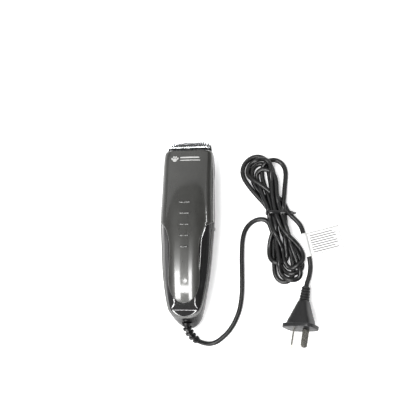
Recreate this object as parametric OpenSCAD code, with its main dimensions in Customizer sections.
// Corded pet clipper with a magnetic vibrator motor, lying on its back, front cover up.
// X runs across the body, +Y points to the blade and +Z comes out of the front cover.
// The origin is on the resting surface, under the middle of the clipper's own box.

/* [Body] */
// Height of the seam between the rear and the front housing
seam_z = 25; // [24:0.5:26]
// Wall thickness of both housings
wall = 2.2; // [1.8:0.1:2.6]
// How far the front housing stands inside the rear housing's rim
rim_step = 1.6; // [1.2:0.1:2]
// Thickness of the front cover
cover_t = 1.5; // [1:0.1:1.5]
// Length of the heel past the end of the seam
heel_reach = 8.5; // [6:0.5:10]

/* [Front cover] */
// Number of finger ribs
rib_count = 5; // [3:1:6]
// Distance from one rib to the next
rib_pitch = 10.7; // [9:0.1:12]
// Place of the rib nearest to the blade
rib_first_y = 28; // [20:0.5:34]

/* [Blades] */
// Width of the fixed comb blade
comb_w = 44; // [40:1:46]
// Length of the comb blade, from its tips to its rear edge
comb_l = 28; // [26:0.5:30]
// Number of comb teeth
comb_teeth = 25; // [17:2:31]
// Width of the moving cutter blade
cutter_w = 38; // [34:1:38]
// Number of cutter teeth
cutter_teeth = 19; // [13:2:21]
// Slope of the blades against the resting surface
blade_tilt = 35; // [33:1:36]

/* [Motor] */
// Distance from the armature's pivot to the drive pin
arm_l = 132; // [128:1:134]
// Diameter of the pivot pin
pivot_d = 4; // [3:0.5:5]
// Air gap between the magnet poles and the armature
air_gap = 1.1; // [1:0.1:1.4]

/* [Controls] */
// Diameter of the power screw's head
power_d = 9; // [7:0.5:10]
// Travel of the switch button
switch_travel = 4; // [3:0.5:4]

/* [Lead] */
// Diameter of the mains lead
cord_d = 4.6; // [4:0.1:5]
// Height of the bundled lead
hank_h = 12; // [10:1:14]
// Length of a plug pin
pin_l = 18; // [16:0.5:19]
// Width of a plug pin
pin_w = 6.35; // [6:0.05:6.5]

/* [Hidden] */

dark = "#4a4a47";
black = "#1d1d1e";
steel = "#c9cbcd";
copper = "#b8703a";

// Seam outline: half of the width at each place along the body
half_width = [[-82, 13.6], [-75, 15.9], [-66, 18.6], [-45, 22.2], [-26, 24.2], [-12, 25],
    [3, 26.1], [13, 26.4], [31, 25.8], [52, 25.2], [72, 24.5], [80.6, 23.6]];
// Height of the crown above the seam at each place along the body
crown_rise = [[-82, 1.6], [-76, 3.8], [-67, 6.2], [-57, 8.4], [-45, 10.2], [-30, 11.6], [-14, 12.4],
    [5, 12.85], [28, 13], [55, 12], [72, 10.2], [80.6, 8.6]];
// Half width of the tongue that the front cover ends in
tongue_half = [[-67.5, 1.2], [-66.5, 5], [-63, 9.6], [-56, 13.4], [-45, 15.2], [-28, 14.4],
    [-14, 14.4], [-2, 17], [5, 20.5], [11, 27]];
seam_end = -81.5;
heel_round = 9.5;
head_end = 80.6;
head_round = 3;
section_power = 2.3;
flat_cut = 1.2;
arc = 10;
steps = [80, 66, 52, 38, 24, 10, 0];

// Blade frame: the tips' line, on the face where comb and cutter meet
tip_y = 88.8;
tip_z = 26.6;
blade_slope = tan(blade_tilt);
comb_t = 2;
cutter_t = 1.8;
guide_t = 3.2;
cutter_back = 16;
mouth_half = 20.9;
mouth_top = 29.6;
pin_y = tip_y - 9;

pivot_y = pin_y - arm_l;
motor_z0 = 15;
motor_z1 = 25;
pole_x = -3 - air_gap;
spring_y = 30;
spring_z = 18;
spring_seat = 13.5;
switch_z = 16;
switch_y = 4.7;
exit_z = 17;
// Each housing screw: its place, and how high its pillar reaches into the front housing
housing_screw_at = [[-6, -62, 29.2], [6, -62, 29.2], [-9, 40, 34.1], [9, 40, 34.1]];
frame_z = 2.5;
pillar_z = 4.4;

// Strain relief: a quarter turn from the heel down to the surface and to the right
bend_r = 19;
relief_turn = 62;
relief_at = -85;
relief_ridges = 5;

// Route of the lead from the strain relief to the hank, and from the hank to the plug
run_route = [[14.2, -103.3, 4.2], [19.5, -104, 2.8], [26, -102.3, 2.4], [32, -98, 2.4], [38.5, -91.5, 2.4],
    [44, -82.5, 2.4], [48.3, -71, 2.4], [50.2, -57.5, 2.4], [50.4, -43.5, 2.4], [50, -29.5, 2.4],
    [49.8, -16, 2.4], [50.4, -3.5, 2.4], [53, 6, 2.4], [58.6, 13, 2.8], [66, 17.2, 3.6], [75.6, 19, 4.6]];
tail_route = [[93.2, 21, 4.6], [101, 16.5, 3], [106.6, 9.5, 2.4], [109.8, 0, 2.8], [112.3, -10, 2.8],
    [114.8, -20, 2.8], [116, -30, 2.4], [115, -39, 2.8], [113.2, -45, 3.8], [112.3, -49.7, 4.9]];
hank_waist = [84.5, 21.5];
hank_waist_r = 9.3;
upper_lobes = [[62, 64.5, 17], [80, 63.5, 15]];
lower_lobes = [[90.5, -36.5, 12.6], [99.5, -30.5, 12]];
tie_w = 3;
tie_t = 1;

// Plug: where its flange's front face is, and how it lies
plug_at = [107.4, -89.5, 12.6];
plug_turn = -7;
plug_lean = -10.8;
plug_roll = -30;
boot_end = 41;

// Curve through [place, value] pairs, without corners
function gradient(t, i) = i <= 0 || i >= len(t) - 1 ? 0
    : (t[i + 1][1] - t[i - 1][1]) / (t[i + 1][0] - t[i - 1][0]);
function piece_of(t, x, i = 0) = i >= len(t) - 2 || x < t[i + 1][0] ? i : piece_of(t, x, i + 1);
function smooth(t, x) = let (
        i = piece_of(t, x),
        h = t[i + 1][0] - t[i][0],
        s = min(1, max(0, (x - t[i][0]) / h)),
        from = t[i][1], to = t[i + 1][1],
        a = gradient(t, i) * h, b = gradient(t, i + 1) * h)
    (2 * s ^ 3 - 3 * s ^ 2 + 1) * from + (s ^ 3 - 2 * s ^ 2 + s) * a
    + (3 * s ^ 2 - 2 * s ^ 3) * to + (s ^ 3 - s ^ 2) * b;
function blend(x, from, to) = let (s = min(1, max(0, (x - from) / (to - from)))) s * s * (3 - 2 * s);

// Plan of the seam's right half, as [half width, y] from the heel's middle to the blade end's middle
plan_y = concat(
    [for (b = [90:-18:18]) seam_end + heel_round * (1 - sin(b))],
    [for (y = [seam_end + heel_round:11.4:head_end - head_round]) y],
    [for (b = [0:30:90]) head_end - head_round * (1 - sin(b))]);
function half_at(y) = smooth(half_width, y)
    * (y < seam_end + heel_round ? (1 - min(1, (seam_end + heel_round - y) / heel_round) ^ 2.5) ^ 0.4 : 1)
    - (y > head_end - head_round
        ? head_round * (1 - sqrt(max(0, 1 - ((y - head_end) / head_round + 1) ^ 2))) : 0);
plan = concat([for (y = plan_y) [half_at(y), y]], [[0, head_end + 0.4]]);

// Depth of the rear housing below the seam: flat on the surface, then up along the blades
function plane_z(y) = tip_z + 0.1 - (tip_y - y) * blade_slope;
function floor_z(y) = let (p = plane_z(y), s = 5) p > s ? p : p < -s ? 0 : (p + s) ^ 2 / (4 * s);
function depth_at(y) = seam_z - floor_z(y) + flat_cut * (1 - blend(y, 40, 60));
function power_at(y) = section_power + 3 * blend(y, 50, 70);
function heel_shift(a) = -heel_reach * sin(min(90, 1.5 * a)) + 12 * (1 - cos(a)) ^ 4;

// A ring of either housing at one angle of its cross-section, "inset" inside its outer face
function rear_point(w, y, a, inset, side) = let (
        p = 2 / power_at(y),
        low = max(inset > 0 ? inset : 0, seam_z - (depth_at(y) - inset) * sin(a) ^ p),
        toward = blend(-y, 55, -seam_end))
    [side * max(0, w - inset) * cos(a) ^ p,
     y + toward * (heel_shift(a) + inset) - inset * blend(y, 70, head_end),
     low];
function front_point(w, y, a, inset, side) = let (p = 2 / section_power)
    [side * max(0, w - inset) * cos(a) ^ p,
     y + inset * blend(-y, 55, -seam_end) - (inset + 1.5 * (1 - cos(a))) * blend(y, 70, head_end),
     seam_z + max(0.3, smooth(crown_rise, y) - inset) * sin(a) ^ p];
function around(f) = concat(
    [for (i = [0:len(plan) - 1]) f(plan[i][0], plan[i][1], 1)],
    [for (i = [len(plan) - 2:-1:1]) f(plan[i][0], plan[i][1], -1)]);
function rear_ring(a, inset) = around(function(w, y, side) rear_point(w, y, a, inset, side));
function front_ring(a, inset) = around(function(w, y, side) front_point(w, y, a, inset, side));

// Closed solid through rings of equal size, its ends closed by strips across the middle
module loft(rings, flip = false) {
    n = len(rings[0]);
    walls = [for (r = [0:len(rings) - 2], i = [0:n - 1])
        let (a = r * n + i, b = r * n + (i + 1) % n) each [[a, b, b + n], [a, b + n, a + n]]];
    function strip(base) = [for (i = [0:n / 2 - 1])
        let (a = i, b = i + 1, c = (n - i - 1) % n, d = (n - i) % n)
        each concat(i < n / 2 - 1 ? [[base + b, base + a, base + c]] : [],
            i > 0 ? [[base + a, base + d, base + c]] : [])];
    last = (len(rings) - 1) * n;
    faces = concat(walls, strip(0), [for (f = strip(last)) [f[2], f[1], f[0]]]);
    polyhedron([for (r = rings) each r], flip ? [for (f = faces) [f[2], f[1], f[0]]] : faces, 8);
}

// Tube along a route, with a radius for each of its rings; no stretch of it runs along "up"
function unit(v) = v / norm(v);
function heading(p, i) = unit(p[min(len(p) - 1, i + 1)] - p[max(0, i - 1)]);
module tube(path, radii, sides, up = [0, 0, 1]) {
    rings = [for (i = [0:len(path) - 1]) let (
            t = heading(path, i),
            u = unit(cross(up, t)),
            v = cross(t, u))
        [for (k = [0:sides - 1]) let (b = 360 * (k + 0.5) / sides)
            path[i] + radii[i] * (cos(b) * u + sin(b) * v)]];
    n = sides;
    count = len(path);
    polyhedron([for (r = rings) each r], concat(
        [for (r = [0:count - 2], i = [0:n - 1]) let (a = r * n + i, b = r * n + (i + 1) % n)
            each [[a, b + n, b], [a, a + n, b + n]]],
        [[for (i = [0:n - 1]) i]],
        [[for (i = [n - 1:-1:0]) (count - 1) * n + i]]), 8);
}

// Points of a smooth curve through a route's points
function along(p, i, s) = let (
        a = p[max(0, i - 1)], b = p[i], c = p[i + 1], d = p[min(len(p) - 1, i + 2)])
    0.5 * (2 * b + (c - a) * s + (2 * a - 5 * b + 4 * c - d) * s ^ 2 + (3 * b - a - 3 * c + d) * s ^ 3);
function rounded(p, parts = 1) = concat(
    [for (i = [0:len(p) - 2], k = [0:parts - 1]) along(p, i, k / parts)], [p[len(p) - 1]]);

// Strain relief's middle line, from the heel to its thin end
function relief_point(s) = let (a = relief_turn * s)
    [bend_r * (1 - cos(a)), relief_at - bend_r * sin(a), exit_z - 11 * s ^ 1.4];

module on_blades() {
    translate([0, tip_y, tip_z]) rotate([blade_tilt, 0, 0]) children();
}

module screw(head_d, head_h, shank_d, shank_l) {
    cylinder(d = head_d, h = head_h, $fn = 48);
    translate([0, 0, -shank_l]) cylinder(d = shank_d, h = shank_l + 0.01, $fn = 48);
}

module at_screws(z) {
    for (p = housing_screw_at) translate([p[0], p[1], z]) children();
}

// Moulded frame on the housing's floor that carries the motor, the pivot, the springs and the lead's clamp
module inner_frame() {
    ledge_top = exit_z - cord_d / 2;
    color(black) difference() {
        union() {
            translate([-5, -70, frame_z]) cube([10, 112, 2]);
            at_screws(pillar_z) cylinder(r = 3.6, h = seam_z - pillar_z - 0.05, $fn = 48);
            for (p = [housing_screw_at[1], housing_screw_at[3]])
                translate([-6, p[1] - 2, frame_z]) cube([12, 4, 3.4]);
            for (y = [-38.5, 8.5]) {
                translate([-12, y, 7.8]) cylinder(r = 3.4, h = motor_z0 - 7.8, $fn = 48);
                translate([-12, y - 3, 7.8]) cube([16, 6, 2.2]);
                translate([-4, y - 3, 4.4]) cube([8, 6, 4]);
            }
            translate([0, pivot_y, 4.4]) cylinder(r = 4.5, h = motor_z0 - 4.8, $fn = 48);
            for (x = [-18.6, 14]) translate([x, spring_y - 5, 9]) cube([2.6, 10, 13]);
            translate([-18.6, spring_y - 4, 9]) cube([35.2, 8, 2]);
            translate([-4, spring_y - 4, 4.4]) cube([8, 8, 5]);
            translate([0, switch_y - 4, 8.5]) cube([18, 8, 2]);
            translate([14.6, switch_y - 4, 10]) cube([3.4, 8, switch_z - 14]);
            translate([-4.5, -77, 4.4]) cube([9, 5, ledge_top - 4.4]);
            translate([-4.5, -77, 4.4]) cube([9, 13, 2]);
            translate([-9, -77, 8]) cube([18, 5, ledge_top - 8]);
        }
        for (y = [-38.5, 8.5]) translate([-12, y, 5]) cylinder(d = 3, h = 20, $fn = 48);
        translate([0, pivot_y, 6]) cylinder(d = pivot_d, h = 20, $fn = 48);
        for (x = [-6, 6]) translate([x, -74.5, 9]) cylinder(d = 2.6, h = 20, $fn = 48);
        at_screws(0) cylinder(r = 2.9, h = 7, $fn = 48);
        at_screws(0) cylinder(r = 1.6, h = 40, $fn = 48);
        translate([-10, spring_y, spring_z]) rotate([0, -90, 0]) cylinder(d = 4.1, h = 10, $fn = 48);
    }
}

module rear_housing() {
    color(dark) difference() {
        loft(concat([for (a = steps) rear_ring(a, 0)],
            [for (i = [len(steps) - 1:-1:0]) rear_ring(steps[i], wall)]));
        on_blades() translate([-mouth_half, -cutter_back - 0.5, -10]) cube([2 * mouth_half, 30, 40]);
        on_blades() for (x = [-14, 14]) translate([x, -22, -1]) cylinder(d = 3.6, h = 8, $fn = 48);
        at_screws(-1) cylinder(r = 2.9, h = 8, $fn = 48);
        translate([18, switch_y - 4.8, switch_z - 2.6]) cube([12, 9.6 + switch_travel, 5.2]);
        translate([-19.6, spring_y, spring_z]) rotate([0, -90, 0])
            cylinder(d = power_d + 0.4, h = 10, $fn = 64);
        translate([0, seam_end + 4, exit_z]) rotate([90, 0, 0]) cylinder(d = 9, h = 20, $fn = 64);
    }
}

module front_housing() {
    color(black) difference() {
        loft(concat([for (a = steps) front_ring(a, rim_step)],
            [for (i = [len(steps) - 1:-1:0]) front_ring(steps[i], rim_step + wall)]), flip = true);
        translate([-mouth_half, 70, seam_z - 1]) cube([2 * mouth_half, 20, mouth_top - seam_z + 1]);
    }
}

// Two moulded bridges under the front housing, with the pillars that the housing screws bite into
module screw_bridges() {
    color(black) difference() {
        union() {
            for (p = housing_screw_at) translate([p[0], p[1], seam_z])
                cylinder(r = 2.6, h = p[2] - seam_z, $fn = 48);
            for (p = [housing_screw_at[1], housing_screw_at[3]])
                translate([-p[0], p[1] - 1, seam_z + 1]) cube([2 * p[0], 2, 2.2]);
        }
        at_screws(seam_z - 1) cylinder(r = 1.5, h = 4.8, $fn = 48);
    }
}

// One cross-section of the front cover, as wide as the tongue is there
function cover_ring(y) = let (
        w = half_at(y) - 0.01,
        half = min(w, smooth(tongue_half, y)),
        a0 = max(2, acos((half / w) ^ (section_power / 2))),
        top = [for (k = [0:arc]) let (a = a0 + (90 - a0) * k / arc) front_point(w, y, a, 0, 1)],
        low = [for (k = [0:arc]) let (a = a0 + (90 - a0) * k / arc) front_point(w, y, a, cover_t, 1)])
    concat(top, [for (k = [arc - 1:-1:0]) mirror_x(top[k])], [for (q = low) mirror_x(q)],
        [for (k = [arc - 1:-1:0]) low[k]]);
function mirror_x(q) = [-q[0], q[1], q[2]];
cover_y = concat([-67.5, -67, -66, -64, -61, -57], [for (y = [-52:8:4]) y], [6, 8, 10, 11.5],
    [for (y = [19:9:73]) y], [for (b = [0:30:90]) head_end - head_round * (1 - sin(b))]);

module ribs() {
    for (i = [0:rib_count - 1]) let (
            y = rib_first_y - rib_pitch * i,
            w = 13.2 - 0.9 * i,
            z = seam_z + smooth(crown_rise, y) - 0.9)
        translate([-w / 2, y, z]) rotate([0, 90, 0]) cylinder(d = 2.2, h = w, $fn = 32);
}

// Strips across a cover section, between its outer and its inner face
function cover_cap(base, n) = [for (i = [0:n / 2 - 2]) each [
    [base + i, base + i + 1, base + n - 1 - i],
    [base + i + 1, base + n - 2 - i, base + n - 1 - i]]];

module front_cover() {
    rings = [for (y = cover_y) cover_ring(y)];
    n = len(rings[0]);
    color(dark) {
        polyhedron([for (r = rings) each r], concat(
            [for (r = [0:len(rings) - 2], i = [0:n - 1]) let (a = r * n + i, b = r * n + (i + 1) % n)
                each [[a, b, b + n], [a, b + n, a + n]]],
            [for (f = cover_cap(0, n)) [f[2], f[1], f[0]]],
            cover_cap((len(rings) - 1) * n, n)), 8);
        ribs();
    }
}

module comb_blade() {
    pitch = comb_w / comb_teeth;
    color(steel) on_blades() difference() {
        translate([-comb_w / 2, -comb_l, -comb_t]) cube([comb_w, comb_l, comb_t]);
        for (i = [1:comb_teeth - 1])
            translate([-comb_w / 2 + pitch * i - 0.45, -5, -comb_t - 1]) cube([0.9, 6, comb_t + 2]);
        for (x = [-14, 14]) translate([x, -22, -comb_t - 1]) cylinder(d = 3.6, h = comb_t + 2, $fn = 48);
    }
}

module blade_screws() {
    color(steel) on_blades() for (x = [-14, 14])
        translate([x, -22, -comb_t]) rotate([180, 0, 0]) screw(6.4, 1.8, 3.5, 7.6);
}

module blade_nut_plate() {
    color(steel) on_blades() difference() {
        translate([-17, -26, 2.95]) cube([34, 8, 1.65]);
        for (x = [-14, 14]) translate([x, -22, 2]) cylinder(d = 3.6, h = 5, $fn = 48);
    }
}

module cutter_blade() {
    pitch = cutter_w / cutter_teeth;
    color(steel) on_blades() difference() {
        translate([-cutter_w / 2, -cutter_back, 0.03]) cube([cutter_w, cutter_back - 1, cutter_t]);
        for (i = [1:cutter_teeth - 1])
            translate([-cutter_w / 2 + pitch * i - 0.5, -4.8, -1]) cube([1, 5, cutter_t + 2]);
        translate([-cutter_w, -cutter_back - 1, 1.2]) cube([2 * cutter_w, cutter_back - 5.2, 2]);
    }
}

module cutter_guide() {
    color(black) difference() {
        on_blades() translate([-14, -15.4, 1.2]) cube([28, 8.4, guide_t]);
        translate([-1.6, pin_y - 3.6, tip_z - 30]) cube([3.2, 7.2, 60]);
    }
}

// Flat spring whose two fingers hold the cutter down on the comb
module tension_spring() {
    color(steel) on_blades() difference() {
        union() {
            translate([-18, -26, 4.65]) cube([36, 7, 0.5]);
            for (x = [-12, 8]) translate([x, -20, 4.65]) cube([4, 9, 0.5]);
        }
        for (x = [-14, 14]) translate([x, -22, 4]) cylinder(d = 3.6, h = 3, $fn = 48);
    }
}

module drive_arm() {
    color(black) {
        translate([-3, 4, 20.8]) cube([6, 58.1, 4]);
        translate([-2.5, 58, 24.7]) cube([5, 4.1, 4.3]);
        translate([-2.5, 58, 26.7]) cube([5, pin_y + 2 - 58, 2.3]);
        translate([0, pin_y, 23.9]) cylinder(d = 3, h = 3, $fn = 48);
    }
}

module armature() {
    color("#8f9194") difference() {
        union() {
            translate([-3, -35, motor_z0]) cube([6, 39, motor_z1 - motor_z0]);
            translate([-3, pivot_y, motor_z0]) cube([6, 20, motor_z1 - motor_z0]);
            translate([0, pivot_y, motor_z0]) cylinder(r = 5, h = motor_z1 - motor_z0, $fn = 64);
        }
        translate([0, pivot_y, 0]) cylinder(d = pivot_d + 0.08, h = 60, $fn = 64);
    }
}

module pivot_pin() {
    color(steel) translate([0, pivot_y, 6]) cylinder(d = pivot_d, h = 21, $fn = 64);
}

module stator_core() {
    color("#8a8580") difference() {
        union() {
            translate([-16, -42, motor_z0]) cube([4, 54, motor_z1 - motor_z0]);
            for (y = [-34, -20, -2])
                translate([-12.1, y, motor_z0]) cube([pole_x + 12.1, y == -20 ? 10 : 6, motor_z1 - motor_z0]);
            for (y = [-42, 5]) translate([-12.1, y, motor_z0]) cube([3.9, 7, motor_z1 - motor_z0]);
        }
        for (y = [-38.5, 8.5]) translate([-12, y, 0]) cylinder(d = 3.1, h = 40, $fn = 48);
    }
}

module stator_screws() {
    color(steel) for (y = [-38.5, 8.5]) translate([-12, y, motor_z1]) screw(5.6, 2, 3, 18);
}

// A frame around the middle leg of the core, "grow" larger than the leg
module leg_frame(x0, x1, inner, outer) {
    difference() {
        translate([x0, -20 - outer, motor_z0 - outer])
            cube([x1 - x0, 10 + 2 * outer, motor_z1 - motor_z0 + 2 * outer]);
        translate([x0 - 1, -20 - inner, motor_z0 - inner])
            cube([x1 - x0 + 2, 10 + 2 * inner, motor_z1 - motor_z0 + 2 * inner]);
    }
}

module coil_bobbin() {
    color("#e8e4d6") {
        leg_frame(-11.9, -10.9, 0.05, 5);
        leg_frame(-5.9, -4.9, 0.05, 5);
        leg_frame(-11, -5.8, 0.05, 1);
    }
}

module coil_winding() {
    color(copper) leg_frame(-10.85, -5.95, 1.05, 4.6);
}

module return_spring(side) {
    turns = 5;
    from = 3.3;
    to = spring_seat - 0.3;
    path = [for (i = [0:turns * 12]) let (a = 30 * i, s = i / (turns * 12))
        [side * (from + (to - from) * s), spring_y + 2.4 * cos(a), spring_z + 4.8 + 2.4 * sin(a)]];
    color(steel) tube(path, [for (q = path) 0.3], 6, [1, 0, 0]);
}

module return_spring_left() {
    return_spring(-1);
}

module return_spring_right() {
    return_spring(1);
}

module power_screw() {
    color(black) translate([0, spring_y, spring_z]) rotate([0, -90, 0]) {
        difference() {
            translate([0, 0, 19.8]) cylinder(d = power_d, h = 4.6, $fn = 64);
            translate([-0.6, -power_d, 23.2]) cube([1.2, 2 * power_d, 3]);
        }
        translate([0, 0, spring_seat]) cylinder(d = 4, h = 6.4, $fn = 64);
    }
}

module switch_body() {
    color(black) translate([14.6, switch_y - 7, switch_z - 4]) cube([5.4, 18, 8]);
}

module switch_button() {
    color(black) {
        translate([20.2, switch_y - 4.5, switch_z - 2.4]) cube([4.2, 9, 4.8]);
        translate([24.2, switch_y - 1.6, switch_z - 2]) cube([1.9, 3.2, 4]);
    }
}

module housing_screws() {
    color(steel) at_screws(7) rotate([180, 0, 0]) screw(5.6, 2.2, 2.9, 20);
}

module cord_clamp() {
    color(black) difference() {
        union() {
            translate([-8.5, -77, exit_z + cord_d / 2 + 0.05]) cube([17, 5, 2]);
            for (x = [-6, 6]) translate([x, -74.5, exit_z - cord_d / 2]) cylinder(r = 2.5, h = 5, $fn = 48);
        }
        for (x = [-6, 6]) translate([x, -74.5, 0]) cylinder(d = 2.7, h = 40, $fn = 48);
    }
}

module clamp_screws() {
    color(steel) for (x = [-6, 6])
        translate([x, -74.5, exit_z + cord_d / 2 + 2.05]) screw(4.8, 1.6, 2.6, 12);
}

module cord_inner_end() {
    color(black) translate([0, -79, exit_z]) rotate([-90, 0, 0]) cylinder(d = cord_d, h = 9, $fn = 48);
}

wire_routes = [
    [[1.4, -69.95, 17], [1.6, -69, 17], [5.6, -67.6, 17], [12.6, -66, 16], [14, -57, 15],
        [15.4, -40, 14], [16.4, -20, 14], [17.2, -2.5, 15]],
    [[-1.4, -69.95, 17], [-1.6, -69, 17], [-5.6, -67.6, 17], [-12.6, -66, 17], [-13.6, -56, 20],
        [-13, -47, 26], [-10.5, -38, 29.3], [-9, -30, 28.8], [-8.6, -25.2, 27.6]],
    [[17, 8, 20.1], [15.6, 7, 24.6], [11, 2, 27.8], [4, -2.6, 28.8], [-3, -3.6, 28.6], [-8, -4.8, 27.6]]];

module lead_wires() {
    color("#c8a050") for (w = wire_routes) {
        path = rounded(w, 2);
        tube(path, [for (q = path) 0.8], 8);
    }
}

module strain_relief() {
    count = relief_ridges * 4;
    path = concat([[0, relief_at + 1.5, exit_z]], [for (i = [0:count]) relief_point(i / count)]);
    radii = concat([4.4], [for (i = [0:count]) let (s = i / count)
        (i % 4 < 2 ? 4.9 - 1.3 * s : 3.9 - 1.1 * s)]);
    color(black) {
        tube(path, radii, 12);
        translate([0, relief_at + 1, exit_z]) rotate([-90, 0, 0]) cylinder(d = 8.9, h = 4.6, $fn = 64);
        translate([0, -79.4, exit_z]) rotate([-90, 0, 0]) cylinder(d = 11, h = 0.4, $fn = 64);
    }
}

module cord_free_run() {
    path = rounded(concat([relief_point(1)], run_route));
    color(black) tube(path, [for (q = path) cord_d / 2], 8);
}

module lobe(ends) {
    hull() {
        translate(hank_waist) circle(r = hank_waist_r, $fn = 32);
        for (e = ends) translate([e[0], e[1]]) circle(r = e[2], $fn = 32);
    }
}

module cord_hank() {
    color(black) translate([0, 0, tie_t + 0.05]) linear_extrude(hank_h - tie_t) {
        lobe(upper_lobes);
        lobe(lower_lobes);
    }
}

module cord_tie() {
    color(black) translate([hank_waist[0], hank_waist[1], 0]) difference() {
        translate([-hank_waist_r - 1 - tie_t, -tie_w / 2, 0])
            cube([2 * (hank_waist_r + 1 + tie_t), tie_w, hank_h + 0.1 + tie_t]);
        translate([-hank_waist_r - 1, -tie_w, tie_t])
            cube([2 * (hank_waist_r + 1), 2 * tie_w, hank_h - tie_t + 0.1]);
    }
}

module cord_tail() {
    path = rounded(tail_route);
    color(black) tube(path, [for (q = path) cord_d / 2], 8);
}

// Paper flag folded round the lead: a loop and two leaves lying to the right
module cord_label() {
    color("white") translate([109.4, 1.5, 2.8]) rotate([90, 0, 14]) linear_extrude(23) difference() {
        union() {
            circle(r = 2.8, $fn = 48);
            translate([0, -0.3]) square([34, 0.6]);
        }
        circle(r = 2.5, $fn = 48);
    }
}

module on_plug() {
    translate(plug_at) rotate([0, 0, plug_turn]) rotate([plug_lean, 0, 0])
        rotate([0, plug_roll, 0]) children();
}

// Cross-section of the plug's body: an ellipse in the XZ plane
function oval(y, a, b, n = 24) = [for (k = [0:n - 1]) let (t = 360 * k / n) [a * cos(t), y, b * sin(t)]];

module plug_body() {
    sections = [[0, 17, 10], [3.6, 17, 10], [3.7, 13.4, 8.6], [8, 12.4, 8.2], [16, 8.6, 6.8], [24, 5.8, 5.6],
        [27, 5.2, 5.2], [27.1, 4.2, 4.2], [29, 4.2, 4.2], [29.1, 4.9, 4.9], [31.4, 4.8, 4.8], [31.5, 3.9, 3.9],
        [33.4, 3.9, 3.9], [33.5, 4.5, 4.5], [35.8, 4.4, 4.4], [35.9, 3.6, 3.6], [37.8, 3.6, 3.6],
        [37.9, 4, 4], [boot_end, 3.7, 3.7]];
    rings = [for (s = sections) oval(s[0], s[1], s[2])];
    n = len(rings[0]);
    last = (len(rings) - 1) * n;
    color(black) on_plug() polyhedron([for (r = rings) each r], concat(
        [for (r = [0:len(rings) - 2], i = [0:n - 1]) let (a = r * n + i, b = r * n + (i + 1) % n)
            each [[a, b, b + n], [a, b + n, a + n]]],
        [[for (i = [n - 1:-1:0]) i]],
        [[for (i = [0:n - 1]) last + i]]), 8);
}

module plug_pins() {
    color("#d8c9a0") on_plug() for (side = [-1, 1])
        translate([side * 6.85, 0, 0]) rotate([0, 30 * -side, 0])
            translate([-0.8, -pin_l, -pin_w / 2]) cube([1.6, pin_l - 0.02, pin_w]);
}

rear_housing();
inner_frame();
screw_bridges();
front_housing();
front_cover();
comb_blade();
blade_screws();
blade_nut_plate();
cutter_blade();
cutter_guide();
tension_spring();
drive_arm();
armature();
pivot_pin();
stator_core();
stator_screws();
coil_bobbin();
coil_winding();
return_spring_left();
return_spring_right();
power_screw();
switch_body();
switch_button();
housing_screws();
cord_clamp();
clamp_screws();
cord_inner_end();
lead_wires();
strain_relief();
cord_free_run();
cord_hank();
cord_tie();
cord_tail();
cord_label();
plug_body();
plug_pins();
